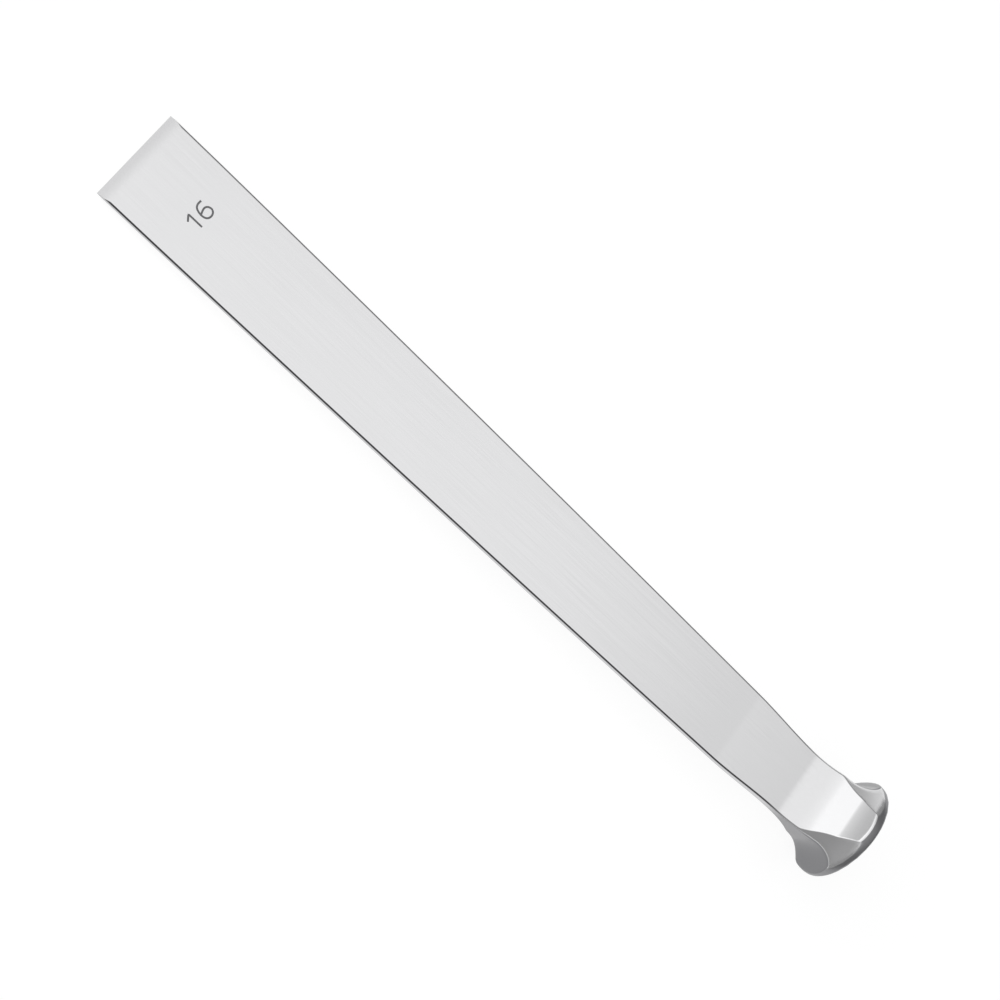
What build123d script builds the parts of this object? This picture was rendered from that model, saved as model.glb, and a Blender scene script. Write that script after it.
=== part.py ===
from build123d import *
from math import atan2, cos, radians, sin, tan
import os

# Straight osteotome: one piece of steel, a flat tapering blade with a mushroom head to strike.
# In the tool's own frame x runs along its axis from the cutting edge to the striking face,
# y across the blade and z square to the flats. The tool lies as it comes to rest on a surface
# at world z = 0, on its blade and on the foot of the rim, tilted by a few degrees.
# The world origin is under the middle of its box.

# Overall length, from the cutting edge to the striking face
overall_length = 154.0

# Blade: its width is the size that such a tool is sold by
blade_width = 16.0
blade_parallel_length = 10.0
blade_thickness = 1.1
cutting_edge_thickness = 0.1
cutting_bevel_length = 2.2

# Shank, narrowing in a slow curve to the neck
shank_width = 13.3
shank_thickness = 1.7
shank_from_rim = 25.0
taper_bulge = 0.2
neck_width = 11.8
neck_thickness = 2.3
neck_from_rim = 11.0
long_edge_bevel = 0.25

# Mushroom head
head_radius = 9.3
rim_width = 1.9
rim_front_round = 0.3
rim_back_round = 0.6

# Hollows that lead the sides, the flats and the turned throat out to the rim: each is an arc
# of this radius that steepens to this angle and then runs straight. Those of the sides and
# flats would reach the rim's radius a little behind its front, so they cut into its edge.
side_hollow_radius = 7.0
side_hollow_angle = 48.0
side_overrun = 0.7
flat_hollow_radius = 7.0
flat_hollow_angle = 44.0
flat_overrun = 0.5
throat_radius = 6.05
throat_hollow_radius = 7.0
throat_hollow_angle = 33.0

# How far the sketches reach past the head
clearance = 2.0

# Places along the axis
rim_front = overall_length - rim_width
shank_station = rim_front - shank_from_rim
neck_station = rim_front - neck_from_rim
past_face = overall_length + clearance
past_rim = head_radius + clearance
past_corners = 1.5 * past_rim

# Resting pose: the shoulder of the cutting bevel and the foot of the rim touch the surface
rest_tilt = atan2(head_radius - blade_thickness / 2, rim_front + rim_front_round - cutting_bevel_length)
edge_height = blade_thickness / 2 * cos(rest_tilt) - cutting_bevel_length * sin(rest_tilt)
footprint_length = (
    (overall_length - rim_back_round) * cos(rest_tilt)
    + (head_radius - rim_back_round) * sin(rest_tilt)
    + rim_back_round
)
edge_centre = Vector(-footprint_length / 2, 0, edge_height)
tool_axis = Vector(cos(rest_tilt), 0, sin(rest_tilt))
flat_plane = Plane(edge_centre, x_dir=tool_axis, z_dir=(-sin(rest_tilt), 0, cos(rest_tilt)))
side_plane = Plane(edge_centre, x_dir=tool_axis, z_dir=(0, -1, 0))


def hollow_start(base, radius, angle, overrun=0.0):
    """Place along the axis where a hollow leaves the line at height base."""
    straight_rise = head_radius - base - radius * (1 - cos(radians(angle)))
    return rim_front + overrun - radius * sin(radians(angle)) - straight_rise / tan(radians(angle))


def draw_hollow(start, base, radius, angle, top):
    """Hollow from the line at height base out to the height top, and where it ends."""
    arc = JernArc(start=(start, base), tangent=(1, 0), radius=radius, arc_size=angle)
    run_out = (top - (arc @ 1).Y) / tan(radians(angle))
    return Line(arc @ 1, ((arc @ 1).X + run_out, top)) @ 1


side_start = hollow_start(neck_width / 2, side_hollow_radius, side_hollow_angle, side_overrun)
flat_start = hollow_start(neck_thickness / 2, flat_hollow_radius, flat_hollow_angle, flat_overrun)
throat_start = hollow_start(throat_radius, throat_hollow_radius, throat_hollow_angle)

with BuildPart() as osteotome:
    # Outline seen from above: parallel blade, slow taper, neck, hollowed sides
    with BuildSketch(flat_plane):
        with BuildLine():
            Polyline((0, 0), (0, blade_width / 2), (blade_parallel_length, blade_width / 2))
            taper = SagittaArc(
                (blade_parallel_length, blade_width / 2),
                (shank_station, shank_width / 2),
                taper_bulge,
            )
            Spline(
                (shank_station, shank_width / 2),
                (neck_station, neck_width / 2),
                tangents=[taper % 1, (1, 0)],
            )
            Line((neck_station, neck_width / 2), (side_start, neck_width / 2))
            side_end = draw_hollow(
                side_start, neck_width / 2, side_hollow_radius, side_hollow_angle, past_rim
            )
            Polyline(side_end, (past_face, past_rim), (past_face, 0), (0, 0))
        make_face()
        mirror(about=Plane.XZ)
    extrude(amount=past_rim, both=True)

    # Section along the axis: cutting bevels, thickening blade, hollowed flats
    with BuildSketch(side_plane):
        with BuildLine():
            Polyline(
                (0, 0),
                (0, cutting_edge_thickness / 2),
                (cutting_bevel_length, blade_thickness / 2),
                (shank_station, shank_thickness / 2),
                (flat_start, neck_thickness / 2),
            )
            flat_end = draw_hollow(
                flat_start, neck_thickness / 2, flat_hollow_radius, flat_hollow_angle, past_rim
            )
            Polyline(flat_end, (past_face, past_rim), (past_face, 0), (0, 0))
        make_face()
        mirror(about=Plane.XZ)
    extrude(amount=past_rim, both=True, mode=Mode.INTERSECT)

    # Broken long edges, from the shoulder of the cutting bevel out to the throat
    long_edges = osteotome.edges().filter_by(
        lambda edge: abs(edge.tangent_at(0.5).dot(tool_axis)) > 0.5
        and cutting_bevel_length < (edge.center() - edge_centre).dot(tool_axis) < throat_start
    )
    chamfer(long_edges, long_edge_bevel)

    # Turned head: the throat, the rim and the striking face
    with BuildSketch(side_plane):
        with BuildLine():
            draw_hollow(
                throat_start, throat_radius, throat_hollow_radius, throat_hollow_angle, head_radius
            )
            Line((rim_front, head_radius), (overall_length - rim_back_round, head_radius))
            JernArc((overall_length - rim_back_round, head_radius), (1, 0), rim_back_round, -90)
            Polyline(
                (overall_length, head_radius - rim_back_round),
                (overall_length, 0),
                (past_face, 0),
                (past_face, past_corners),
                (throat_start, past_corners),
                (throat_start, throat_radius),
            )
        make_face()
    revolve(axis=Axis(edge_centre, tool_axis), mode=Mode.SUBTRACT)

    # Rounded front of the rim
    rim_side = osteotome.faces().filter_by(GeomType.CYLINDER).sort_by(Axis(edge_centre, tool_axis))[-1]
    front_edges = rim_side.edges().filter_by(
        lambda edge: (edge.center() - edge_centre).dot(tool_axis) < rim_front + rim_front_round
    )
    fillet(front_edges, rim_front_round)

osteotome.part.label = "osteotome"

os.makedirs("parts", exist_ok=True)
export_step(osteotome.part, "parts/osteotome.step")
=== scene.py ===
from math import cos, radians, sin, sqrt, tan

import bpy
from mathutils import Euler, Matrix, Vector


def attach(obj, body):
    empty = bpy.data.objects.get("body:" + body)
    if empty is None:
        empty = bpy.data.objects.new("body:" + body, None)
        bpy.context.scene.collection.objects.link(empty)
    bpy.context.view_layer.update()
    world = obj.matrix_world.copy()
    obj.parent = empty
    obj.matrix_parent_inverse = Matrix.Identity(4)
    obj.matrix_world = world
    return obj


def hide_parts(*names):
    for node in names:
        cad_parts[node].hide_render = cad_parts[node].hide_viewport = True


# Straight osteotome, ground from one piece of stainless steel, lying on a pale surface.
# Places on the tool are given in its own frame, in mm: x along its axis from the cutting edge
# to the striking face, y across the blade, z square to the flats.

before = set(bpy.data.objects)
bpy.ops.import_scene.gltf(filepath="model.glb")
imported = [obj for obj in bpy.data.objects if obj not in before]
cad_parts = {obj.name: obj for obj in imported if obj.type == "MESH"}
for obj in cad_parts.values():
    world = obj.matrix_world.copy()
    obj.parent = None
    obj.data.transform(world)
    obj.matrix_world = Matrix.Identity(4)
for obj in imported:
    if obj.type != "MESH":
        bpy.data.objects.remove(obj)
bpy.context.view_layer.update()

MM = 0.001

# The tool's own frame, as it lies on its blade and on the foot of the rim
EDGE_CENTRE = Vector((-77.123, 0.0, 0.421)) * MM
REST_TILT = radians(3.334)
tool_frame = (
    Matrix.Translation(EDGE_CENTRE) @ Matrix.Rotation(-REST_TILT, 4, "Y") @ Matrix.Scale(MM, 4)
)

# Sizes that the solid and this finer skin share
LENGTH = 154.0
BLADE_HALF_WIDTH = 8.0
PARALLEL_LENGTH = 10.0
BEVEL_LENGTH = 2.2
EDGE_HALF_THICKNESS = 0.05
BLADE_HALF_THICKNESS = 0.55
SHANK_STATION = 127.1
SHANK_HALF_WIDTH = 6.65
SHANK_HALF_THICKNESS = 0.85
TAPER_BULGE = 0.2
NECK_STATION = 141.1
NECK_HALF_WIDTH = 5.9
NECK_HALF_THICKNESS = 1.15
LONG_EDGE_BEVEL = 0.25
HEAD_RADIUS = 9.3
RIM_FRONT = 152.1

# Hollows of the head, finer here than the solid's own: each is an arc of this radius that
# steepens to this angle and runs straight on, to reach the head's radius this far behind the
# front of the rim. A corner's starts this far from the axis, deep or shallow.
FLAT_HOLLOW = (9.0, 43.5, 0.98)
SIDE_HOLLOW = (4.4, 60.0, 0.7)
CORNER_HOLLOW = (15.0, 47.0, 0.65)
CORNER_DISTANCES = (5.05, 5.4)
CORNER_FACING = radians(51.0)

# Run-out of the flats' hollows, ground steeper: where it starts, and its rise and curve
RUN_OUT_START = 149.7
RUN_OUT_RISE = 0.22
RUN_OUT_CURVE = 0.05

# Rim: its highest line, how fast it falls off behind that, and the round of its back edge
RIM_HIGH_LINE = 152.3
RIM_CROWN = 0.06
RIM_BACK_ROUND = 0.6

# How far the hollows run on past the head's radius, before the rim cuts them off
PAST_RIM = 1.5

# Softness of the shoulder of the cutting bevel, of the creases that bound a flat and a side,
# and of the rim's front edge. A crease takes no more than this share of what it lies between,
# and where nothing was broken off a corner, this little still is.
SHOULDER_SOFTNESS = 0.04
FLAT_CREASE_SOFTNESS = 0.14
SIDE_CREASE_SOFTNESS = 0.5
RIM_EDGE_SOFTNESS = 0.32
CREASE_SHARE = 0.35
LEAST_BREAK = 0.02

# Rows of points in a quarter of the section, as shares of the way across each part of it
FLAT_ROWS = (0, 0.25, 0.5, 0.75, 0.93, 0.99, 1)
CREASE_ROWS = (0.2, 0.4, 0.6, 0.8)
FACET_ROWS = (0, 0.15, 0.38, 0.62, 0.85, 1)
SIDE_ROWS = (0, 0.15, 0.4, 0.7, 1)

# Stretches of the axis, and how many sections stand on each: most where the form turns fastest
STRETCHES = (
    (0.0, 1.8, 6), (1.8, 2.6, 8), (2.6, PARALLEL_LENGTH, 4), (PARALLEL_LENGTH, 127.0, 40),
    (127.0, 141.0, 20), (141.0, 150.0, 45), (150.0, 153.2, 64), (153.2, LENGTH, 12),
)


# Materials

def colour(hex_code):
    """An sRGB hex colour as the linear colour that a shader takes."""
    values = [int(hex_code[i:i + 2], 16) / 255 for i in (1, 3, 5)]
    linear = [v / 12.92 if v <= 0.04045 else ((v + 0.055) / 1.055) ** 2.4 for v in values]
    return (*linear, 1.0)


def add(tree, kind, links=None, **settings):
    """A node of one kind in the tree, with its settings and with links into its inputs."""
    node = tree.nodes.new("ShaderNode" + kind)
    inputs = settings.pop("inputs", {})
    for name, value in settings.items():
        setattr(node, name, value)
    for name, value in inputs.items():
        node.inputs[name].default_value = value
    for name, output in (links or {}).items():
        tree.links.new(output, node.inputs[name])
    return node


def new_material(name):
    """An empty material, its node tree and its output node."""
    material = bpy.data.materials.new(name)
    material.use_nodes = True
    tree = material.node_tree
    tree.nodes.clear()
    return material, tree, add(tree, "OutputMaterial")


def satin_stainless_steel():
    """Martensitic stainless instrument steel, ground fine along the blade.

    It mirrors its surroundings softly: pale and even on the flats, with faint hair lines along
    the tool. Its colour holds painted shade: darker on the broken long edges, on the sides and
    cutting bevels, and on the rim where it turns away from the blade.
    """
    steel, tree, output = new_material("satin stainless steel")
    place = add(tree, "TexCoord")
    tool = add(
        tree, "Mapping", {"Vector": place.outputs["Object"]}, vector_type="TEXTURE",
        inputs={"Location": EDGE_CENTRE, "Rotation": (0.0, -REST_TILT, 0.0), "Scale": (MM, MM, MM)},
    ).outputs["Vector"]
    along = add(tree, "SeparateXYZ", {"Vector": tool}).outputs["X"]

    # Facing: 1 on the flats, 0 on a side that stands square to them
    facing = add(
        tree, "VectorMath", {0: place.outputs["Normal"]}, operation="DOT_PRODUCT",
        inputs={1: (-sin(REST_TILT), 0.0, cos(REST_TILT))},
    ).outputs["Value"]
    flatness = add(tree, "Math", {0: facing}, operation="ABSOLUTE").outputs[0]

    # Painted shade on the long edges of the blade and shank, which are broken by a small bevel
    on_edge = add(
        tree, "MapRange", {"Value": flatness}, interpolation_type="SMOOTHSTEP",
        inputs={"From Min": 0.97, "From Max": 0.85, "To Min": 0.0, "To Max": 1.0},
    ).outputs[0]
    before_head = add(
        tree, "MapRange", {"Value": along}, interpolation_type="SMOOTHSTEP",
        inputs={"From Min": 144.0, "From Max": 138.0, "To Min": 0.0, "To Max": 1.0},
    ).outputs[0]
    edge = add(tree, "Math", {0: on_edge, 1: before_head}, operation="MULTIPLY").outputs[0]

    # Sides: drawn lengthwise along the blade, and ground across in the head, with painted shade
    # that makes them darker than the flats, darkest in the head
    on_side = add(
        tree, "MapRange", {"Value": flatness}, interpolation_type="SMOOTHSTEP",
        inputs={"From Min": 0.52, "From Max": 0.38, "To Min": 0.0, "To Max": 1.0},
    ).outputs[0]
    side_painted_shade = add(
        tree, "MixRGB", {"Fac": before_head},
        inputs={"Color1": colour("#808082"), "Color2": colour("#C4C4C6")},
    ).outputs["Color"]

    # Rim, left as it was turned: duller, with painted shade that darkens it where it no longer
    # faces the blade
    backward = add(
        tree, "VectorMath", {0: place.outputs["Normal"]}, operation="DOT_PRODUCT",
        inputs={1: (cos(REST_TILT), 0.0, sin(REST_TILT))},
    ).outputs["Value"]
    rim_faces_away = add(
        tree, "MapRange", {"Value": backward}, interpolation_type="SMOOTHSTEP",
        inputs={"From Min": -0.35, "From Max": -0.05, "To Min": 0.0, "To Max": 1.0},
    ).outputs[0]
    at_rim = add(
        tree, "MapRange", {"Value": along}, interpolation_type="SMOOTHSTEP",
        inputs={"From Min": 151.4, "From Max": 152.0, "To Min": 0.0, "To Max": 1.0},
    ).outputs[0]
    rim = add(tree, "Math", {0: rim_faces_away, 1: at_rim}, operation="MULTIPLY").outputs[0]

    # Hair lines of the fine belt, about 0.15 mm apart and some 12 mm long
    stretched = add(
        tree, "Mapping", {"Vector": tool}, inputs={"Scale": (0.08, 7.0, 7.0)},
    ).outputs["Vector"]
    hair_lines = add(
        tree, "TexNoise", {"Vector": stretched},
        inputs={"Scale": 1.0, "Detail": 3.0, "Roughness": 0.6},
    ).outputs["Fac"]

    # Painted shade: the broken long edges darker than the flats
    blade_tint = add(
        tree, "MixRGB", {"Fac": edge},
        inputs={"Color1": colour("#DCDCDD"), "Color2": colour("#6A6A6C")},
    ).outputs["Color"]
    # Cutting bevels, honed across, with painted shade that makes them a little greyer than the
    # flats
    painted_bevel_shade = add(
        tree, "MapRange", {"Value": along}, interpolation_type="SMOOTHSTEP",
        inputs={"From Min": 2.5, "From Max": 0.4, "To Min": 0.0, "To Max": 1.0},
    ).outputs[0]
    blade_tint = add(
        tree, "MixRGB", {"Fac": painted_bevel_shade, "Color1": blade_tint}, inputs={"Color2": colour("#CDCDCE")},
    ).outputs["Color"]
    # Painted shade on the sides
    tint = add(
        tree, "MixRGB", {"Fac": on_side, "Color1": blade_tint, "Color2": side_painted_shade},
    ).outputs["Color"]
    # Painted shade on the rim where it turns away from the blade
    tint = add(
        tree, "MixRGB", {"Fac": rim, "Color1": tint}, inputs={"Color2": colour("#929294")},
    ).outputs["Color"]
    polish = add(
        tree, "MapRange", {"Value": hair_lines},
        inputs={"From Min": 0.3, "From Max": 0.7, "To Min": 0.18, "To Max": 0.26},
    ).outputs[0]
    roughness = add(
        tree, "Math", {0: rim, 2: polish}, operation="MULTIPLY_ADD", inputs={1: 0.15},
    ).outputs[0]
    relief = add(
        tree, "Bump", {"Height": hair_lines}, inputs={"Strength": 0.1, "Distance": 0.00001},
    ).outputs["Normal"]
    shader = add(
        tree, "BsdfPrincipled",
        {"Base Color": tint, "Roughness": roughness, "Normal": relief},
        inputs={"Metallic": 1.0},
    )
    tree.links.new(shader.outputs["BSDF"], output.inputs["Surface"])
    return steel


def etched_steel():
    """The same steel where the size mark was etched: dark grey, matt and faintly pitted."""
    steel, tree, output = new_material("etched stainless steel")
    place = add(tree, "TexCoord").outputs["Object"]
    # Pits of the etching, about 0.05 mm across
    pits = add(
        tree, "TexNoise", {"Vector": place}, inputs={"Scale": 1 / (0.05 * MM), "Detail": 2.0},
    ).outputs["Fac"]
    tint = add(
        tree, "MixRGB", {"Fac": pits},
        inputs={"Color1": colour("#6C6C6E"), "Color2": colour("#8C8C8E")},
    ).outputs["Color"]
    relief = add(
        tree, "Bump", {"Height": pits}, inputs={"Strength": 0.3, "Distance": 0.000005},
    ).outputs["Normal"]
    shader = add(
        tree, "BsdfPrincipled", {"Base Color": tint, "Normal": relief},
        inputs={"Metallic": 0.7, "Roughness": 0.6},
    )
    tree.links.new(shader.outputs["BSDF"], output.inputs["Surface"])
    return steel


# Shape of the tool, worked out at each station along its axis

def soft_min(a, b, softness):
    """The lower of two heights, with their crossing rounded off."""
    near = max(softness - abs(a - b), 0.0) / softness
    return min(a, b) - near * near * softness / 4


def hollow(x, base, radius, angle, overrun):
    """Height at station x of a hollow that leaves the height base and runs out to the rim."""
    steep = radians(angle)
    arc_run, arc_rise = radius * sin(steep), radius * (1 - cos(steep))
    start = RIM_FRONT + overrun - arc_run - (HEAD_RADIUS - base - arc_rise) / tan(steep)
    run = x - start
    if run <= 0:
        return base
    if run < arc_run:
        return base + radius - sqrt(radius ** 2 - run ** 2)
    return min(base + arc_rise + (run - arc_run) * tan(steep), HEAD_RADIUS + PAST_RIM)


def taper(x):
    """Half width on the slow curve from the parallel blade to the shank, and its slope."""
    chord = SHANK_STATION - PARALLEL_LENGTH
    share = (x - PARALLEL_LENGTH) / chord
    fall = SHANK_HALF_WIDTH - BLADE_HALF_WIDTH
    height = BLADE_HALF_WIDTH + fall * share + 4 * TAPER_BULGE * share * (1 - share)
    return height, (fall + 4 * TAPER_BULGE * (1 - 2 * share)) / chord


def half_width(x):
    """Half the width across the sides."""
    if x <= PARALLEL_LENGTH:
        return BLADE_HALF_WIDTH
    if x <= SHANK_STATION:
        return taper(x)[0]
    if x <= NECK_STATION:
        span = NECK_STATION - SHANK_STATION
        t = (x - SHANK_STATION) / span
        leave, slope = taper(SHANK_STATION)
        return (
            (2 * t ** 3 - 3 * t ** 2 + 1) * leave
            + (t ** 3 - 2 * t ** 2 + t) * slope * span
            + (3 * t ** 2 - 2 * t ** 3) * NECK_HALF_WIDTH
        )
    return hollow(x, NECK_HALF_WIDTH, *SIDE_HOLLOW)


def blade_half_thickness(x):
    """Half the thickness of the flats before the cutting edge is ground."""
    if x <= SHANK_STATION:
        share = (x - BEVEL_LENGTH) / (SHANK_STATION - BEVEL_LENGTH)
        return BLADE_HALF_THICKNESS + share * (SHANK_HALF_THICKNESS - BLADE_HALF_THICKNESS)
    share = (x - SHANK_STATION) / (NECK_STATION - SHANK_STATION)
    base = SHANK_HALF_THICKNESS + share * (NECK_HALF_THICKNESS - SHANK_HALF_THICKNESS)
    return max(base, hollow(x, NECK_HALF_THICKNESS, *FLAT_HOLLOW) if x > NECK_STATION else base)


def half_thickness(x):
    """Half the thickness across the flats, cutting bevel included."""
    rise = (BLADE_HALF_THICKNESS - EDGE_HALF_THICKNESS) / BEVEL_LENGTH
    steeper = max(x - RUN_OUT_START, 0.0)
    run_out = RUN_OUT_RISE * steeper + RUN_OUT_CURVE * steeper ** 2
    flats = blade_half_thickness(x) + run_out
    return soft_min(EDGE_HALF_THICKNESS + rise * x, flats, SHOULDER_SOFTNESS)


def rim_radius(x):
    """Radius of the slightly crowned rim, and of the head before it."""
    crown = RIM_CROWN * max(x - RIM_HIGH_LINE, 0.0) ** 2
    over = max(x - LENGTH + RIM_BACK_ROUND, 0.0)
    return HEAD_RADIUS - crown - RIM_BACK_ROUND + sqrt(max(RIM_BACK_ROUND ** 2 - over ** 2, 0.0))


def between(start, end, shares):
    """Points at these shares of the way from one point to another."""
    return [start.lerp(end, share) for share in shares]


def soft_crease(corner, before, after):
    """Points on the small curve that rounds a crease of the section."""
    return [before.lerp(corner, t).lerp(corner.lerp(after, t), t) for t in CREASE_ROWS]


def quarter_section(x, corner_distance):
    """Points of a quarter of the section: from the middle of a flat to the middle of a side."""
    wide, thick = half_width(x), half_thickness(x)
    in_head = x > SHANK_STATION
    distance = hollow(x, corner_distance, *CORNER_HOLLOW) if in_head else wide + thick
    broken = wide + blade_half_thickness(x) - LONG_EDGE_BEVEL
    flat_end = min((distance - thick * sin(CORNER_FACING)) / cos(CORNER_FACING), broken - thick)
    side_end = min((distance - wide * cos(CORNER_FACING)) / sin(CORNER_FACING), broken - wide)
    flat_corner = Vector((min(flat_end, wide - LEAST_BREAK), thick))
    side_corner = Vector((wide, min(side_end, thick - LEAST_BREAK)))
    facet = side_corner - flat_corner
    most = CREASE_SHARE * min(facet.length, side_corner.y)
    flat_soft, side_soft = min(FLAT_CREASE_SOFTNESS, most), min(SIDE_CREASE_SOFTNESS, most)
    flat_leave = flat_corner - Vector((flat_soft, 0))
    facet_start = flat_corner + facet.normalized() * flat_soft
    facet_end = side_corner - facet.normalized() * side_soft
    side_start = side_corner - Vector((0, side_soft))
    quarter = (
        between(Vector((0, thick)), flat_leave, FLAT_ROWS)
        + soft_crease(flat_corner, flat_leave, facet_start)
        + between(facet_start, facet_end, FACET_ROWS)
        + soft_crease(side_corner, facet_end, side_start)
        + between(side_start, Vector((wide, 0)), SIDE_ROWS)
    )
    crown = rim_radius(x)
    for point in quarter:
        point *= soft_min(point.length, crown, RIM_EDGE_SOFTNESS) / point.length
    return quarter


def section(x):
    """Ring of points round the tool at station x, its four corners ground in two depths."""
    deep, shallow = (quarter_section(x, distance) for distance in CORNER_DISTANCES)
    right = shallow + [Vector((p.x, -p.y)) for p in reversed(deep)][1:]
    left = [-p for p in right][1:-1]
    return [tool_frame @ Vector((x, p.x, p.y)) for p in right + left]


def stations():
    """Places along the axis where the sections stand."""
    steps = [
        low + (high - low) * i / count for low, high, count in STRETCHES for i in range(count)
    ]
    return steps + [LENGTH]


def ground_skin():
    """The whole tool as one closed skin, with the creases of its ground head."""
    rings = [section(x) for x in stations()]
    sides = len(rings[0])
    last = (len(rings) - 1) * sides
    faces = [
        (start + j, start + (j + 1) % sides, start + sides + (j + 1) % sides, start + sides + j)
        for start in range(0, last, sides) for j in range(sides)
    ]
    ends = [tuple(reversed(range(sides))), tuple(range(last, last + sides))]
    mesh = bpy.data.meshes.new("osteotome_ground")
    mesh.from_pydata([point for ring in rings for point in ring], [], faces + ends)
    mesh.polygons.foreach_set("use_smooth", [True] * len(faces) + [False] * len(ends))
    mesh.update()
    mesh.materials.append(satin_stainless_steel())
    skin = bpy.data.objects.new("osteotome_ground", mesh)
    bpy.context.scene.collection.objects.link(skin)
    even = skin.modifiers.new("even normals", "WEIGHTED_NORMAL")
    even.keep_sharp = True
    return skin


osteotome = ground_skin()
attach(osteotome, "root")
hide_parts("osteotome")


# Size mark, etched near the cutting edge: the blade's width in mm

MARK_STROKE = 0.15
MARK_PROUD = 0.012
ONE = ((11.85, -2.0), (11.15, -1.1), (13.8, -1.1))
SIX = (
    (11.2, 1.72), (11.1, 1.1), (11.4, 0.42), (12.2, 0.12), (13.1, 0.12), (13.7, 0.55),
    (13.75, 1.45), (13.2, 1.98), (12.45, 1.8), (12.1, 1.1), (12.5, 0.25),
)


def etch_digit(name, points, order, material):
    """One digit as a flat closed stroke along its centre line, in tool coordinates."""
    path = bpy.data.curves.new(name, "CURVE")
    path.dimensions = "3D"
    path.bevel_depth = MARK_STROKE
    path.bevel_resolution = 3
    path.use_fill_caps = True
    spline = path.splines.new("NURBS")
    spline.points.add(len(points) - 1)
    for point, (x, y) in zip(spline.points, points):
        point.co = (x, y, 0.0, 1.0)
    spline.order_u = order
    spline.use_endpoint_u = True
    spline.resolution_u = 8
    drawn = bpy.data.objects.new(name, path)
    mesh = bpy.data.meshes.new_from_object(drawn)
    bpy.data.objects.remove(drawn)
    for vertex in mesh.vertices:
        x, y, z = vertex.co
        vertex.co = tool_frame @ Vector((x, y, half_thickness(x) + z * MARK_PROUD / MARK_STROKE))
    mesh.materials.append(material)
    piece = bpy.data.objects.new(name, mesh)
    bpy.context.scene.collection.objects.link(piece)
    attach(piece, "root")


mark_steel = etched_steel()
etch_digit("size_mark_1", ONE, 2, mark_steel)
etch_digit("size_mark_6", SIX, 3, mark_steel)


# Stage

def seen_directly(tree, kinds=("Is Camera Ray", "Is Glossy Ray", "Is Transmission Ray")):
    """1 for what the camera sees, straight or through a mirror or glass, and 0 for other light."""
    ray = add(tree, "LightPath")
    seen = ray.outputs[kinds[0]]
    for kind in kinds[1:]:
        seen = add(tree, "Math", {0: seen, 1: ray.outputs[kind]}, operation="MAXIMUM").outputs[0]
    return seen


def white_floor():
    """White studio paper: most of its white is its own, so that only a soft shadow shows."""
    paper, tree, output = new_material("white studio paper")
    matt = add(tree, "BsdfDiffuse", inputs={"Color": colour("#808080")})
    glow = add(
        tree, "Emission", {"Strength": seen_directly(tree)}, inputs={"Color": colour("#EEEEEE")},
    )
    both = add(tree, "AddShader", {0: matt.outputs[0], 1: glow.outputs[0]})
    tree.links.new(both.outputs[0], output.inputs["Surface"])
    return paper


REACH = 3.0
floor_mesh = bpy.data.meshes.new("floor")
floor_mesh.from_pydata(
    [(-REACH, -REACH, 0), (REACH, -REACH, 0), (REACH, REACH, 0), (-REACH, REACH, 0)],
    [],
    [(0, 1, 2, 3)],
)
floor_mesh.materials.append(white_floor())
floor = bpy.data.objects.new("floor", floor_mesh)
bpy.context.scene.collection.objects.link(floor)

# Soft light from a long cloth above the tool: it hangs down low beyond the cutting edge and
# ends a little behind the zenith, and the room is grey beside it and behind the head. Each
# table gives the light by one part of the direction that a ray goes in, from -1 to 1, and the
# three are multiplied. Looked at straight, the room is plain white.
LIGHT_ALONG = (
    (-1.0, 1.55), (-0.87, 1.5), (-0.73, 1.2), (-0.45, 1.12), (0.26, 1.13), (0.32, 0.98),
    (0.38, 0.86), (0.5, 0.62), (0.7, 0.36), (1.0, 0.26),
)
LIGHT_ACROSS = (
    (-1.0, 0.16), (-0.75, 0.22), (-0.55, 0.55), (-0.38, 1.0), (0.38, 1.0), (0.55, 0.55),
    (0.75, 0.22), (1.0, 0.16),
)
LIGHT_BY_HEIGHT = ((-1.0, 0.3), (0.0, 0.3), (0.22, 0.42), (0.35, 1.0), (1.0, 1.0))

# Level of the grey room where the cloth's light has fallen below it
ROOM_LEVEL = 0.34

# A ramp's stop is no brighter than 1, so each level is written as this share of itself, and the
# strength of the light makes up for it once for each of the three ramps
STOP_SHARE = 0.5


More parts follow.
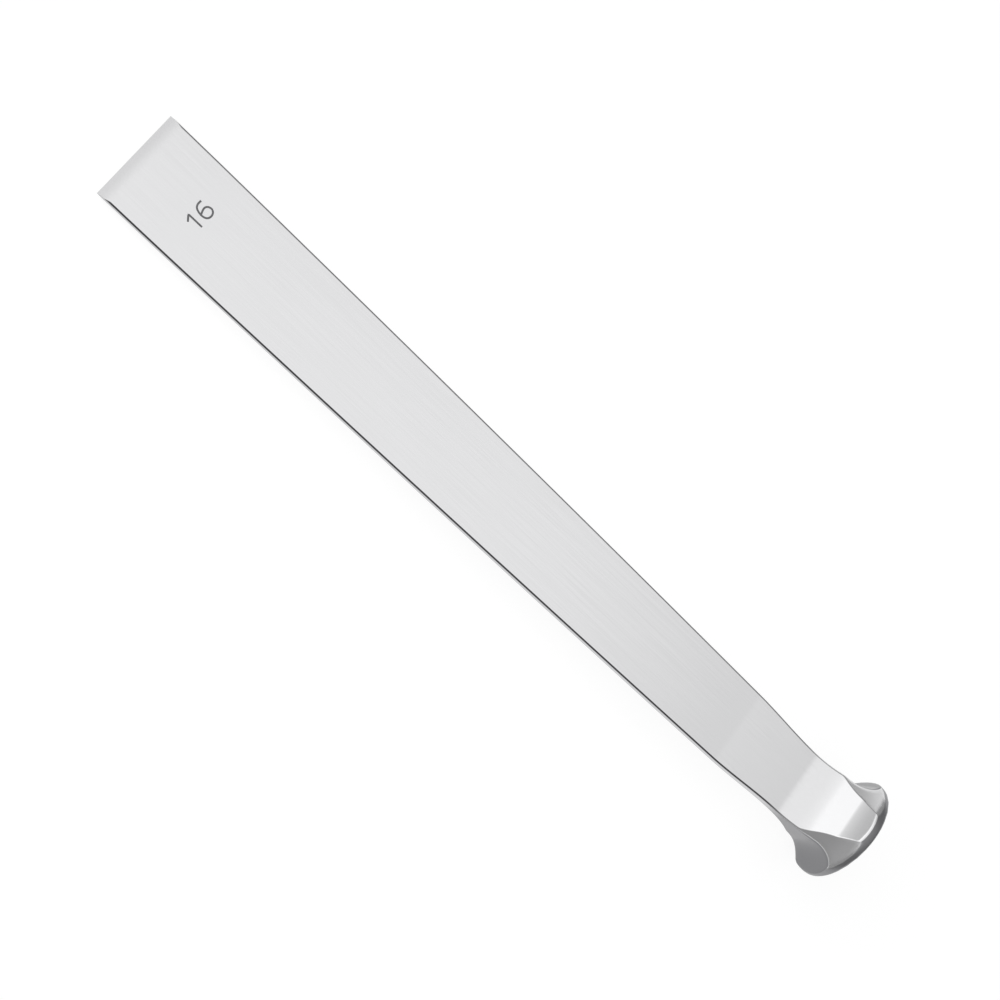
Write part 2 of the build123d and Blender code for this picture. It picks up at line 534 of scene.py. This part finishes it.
def graded(tree, value, levels):
    """A ramp of light levels, each as its share, over a value that goes from -1 to 1."""
    share = add(tree, "Math", {0: value}, operation="MULTIPLY_ADD", inputs={1: 0.5, 2: 0.5})
    ramp = add(tree, "ValToRGB", {"Fac": share.outputs[0]})
    stops = ramp.color_ramp.elements
    stops.remove(stops[1])
    for index, (place, level) in enumerate(levels):
        stop = stops.new((place + 1) / 2) if index else stops[0]
        grey = level * STOP_SHARE
        stop.color = (grey, grey, grey, 1.0)
    return ramp.outputs["Color"]


def soft_room():
    """A world that lights the tool as the cloth and the room do, and looks plain white."""
    room = bpy.data.worlds.new("soft room")
    room.use_nodes = True
    tree = room.node_tree
    tree.nodes.clear()
    ray = add(tree, "SeparateXYZ", {"Vector": add(tree, "TexCoord").outputs["Generated"]}).outputs
    level = graded(tree, ray["X"], LIGHT_ALONG)
    for part, levels in (("Y", LIGHT_ACROSS), ("Z", LIGHT_BY_HEIGHT)):
        level = add(
            tree, "VectorMath", {0: level, 1: graded(tree, ray[part], levels)},
            operation="MULTIPLY",
        ).outputs[0]
    level = add(
        tree, "VectorMath", {0: level}, operation="MAXIMUM",
        inputs={1: (ROOM_LEVEL * STOP_SHARE ** 3,) * 3},
    ).outputs[0]
    cloth = add(tree, "Background", {"Color": level}, inputs={"Strength": STOP_SHARE ** -3})
    white = add(tree, "Background", inputs={"Color": (1.0, 1.0, 1.0, 1.0), "Strength": 1.0})
    seen = seen_directly(tree, ("Is Camera Ray", "Is Transmission Ray"))
    light = add(tree, "MixShader", {"Fac": seen, 1: cloth.outputs[0], 2: white.outputs[0]})
    add(tree, "OutputWorld", {"Surface": light.outputs[0]})
    return room


bpy.context.scene.world = soft_room()

# Camera at the photograph's viewing angle
CAMERA_PLACE = Vector((-90.26, -91.25, 266.02)) * MM
CAMERA_TURN = (2.281, -25.69, 41.25)
FOCAL_LENGTH = 68.84
SENSOR_WIDTH = 36.0
NEAREST = 0.01
lens = bpy.data.cameras.new("camera")
lens.lens = FOCAL_LENGTH
lens.sensor_width = SENSOR_WIDTH
lens.clip_start = NEAREST
camera = bpy.data.objects.new("camera", lens)
camera.location = CAMERA_PLACE
camera.rotation_euler = Euler([radians(angle) for angle in CAMERA_TURN])
bpy.context.scene.collection.objects.link(camera)
bpy.context.scene.camera = camera

bpy.context.scene.view_settings.view_transform = "Standard"
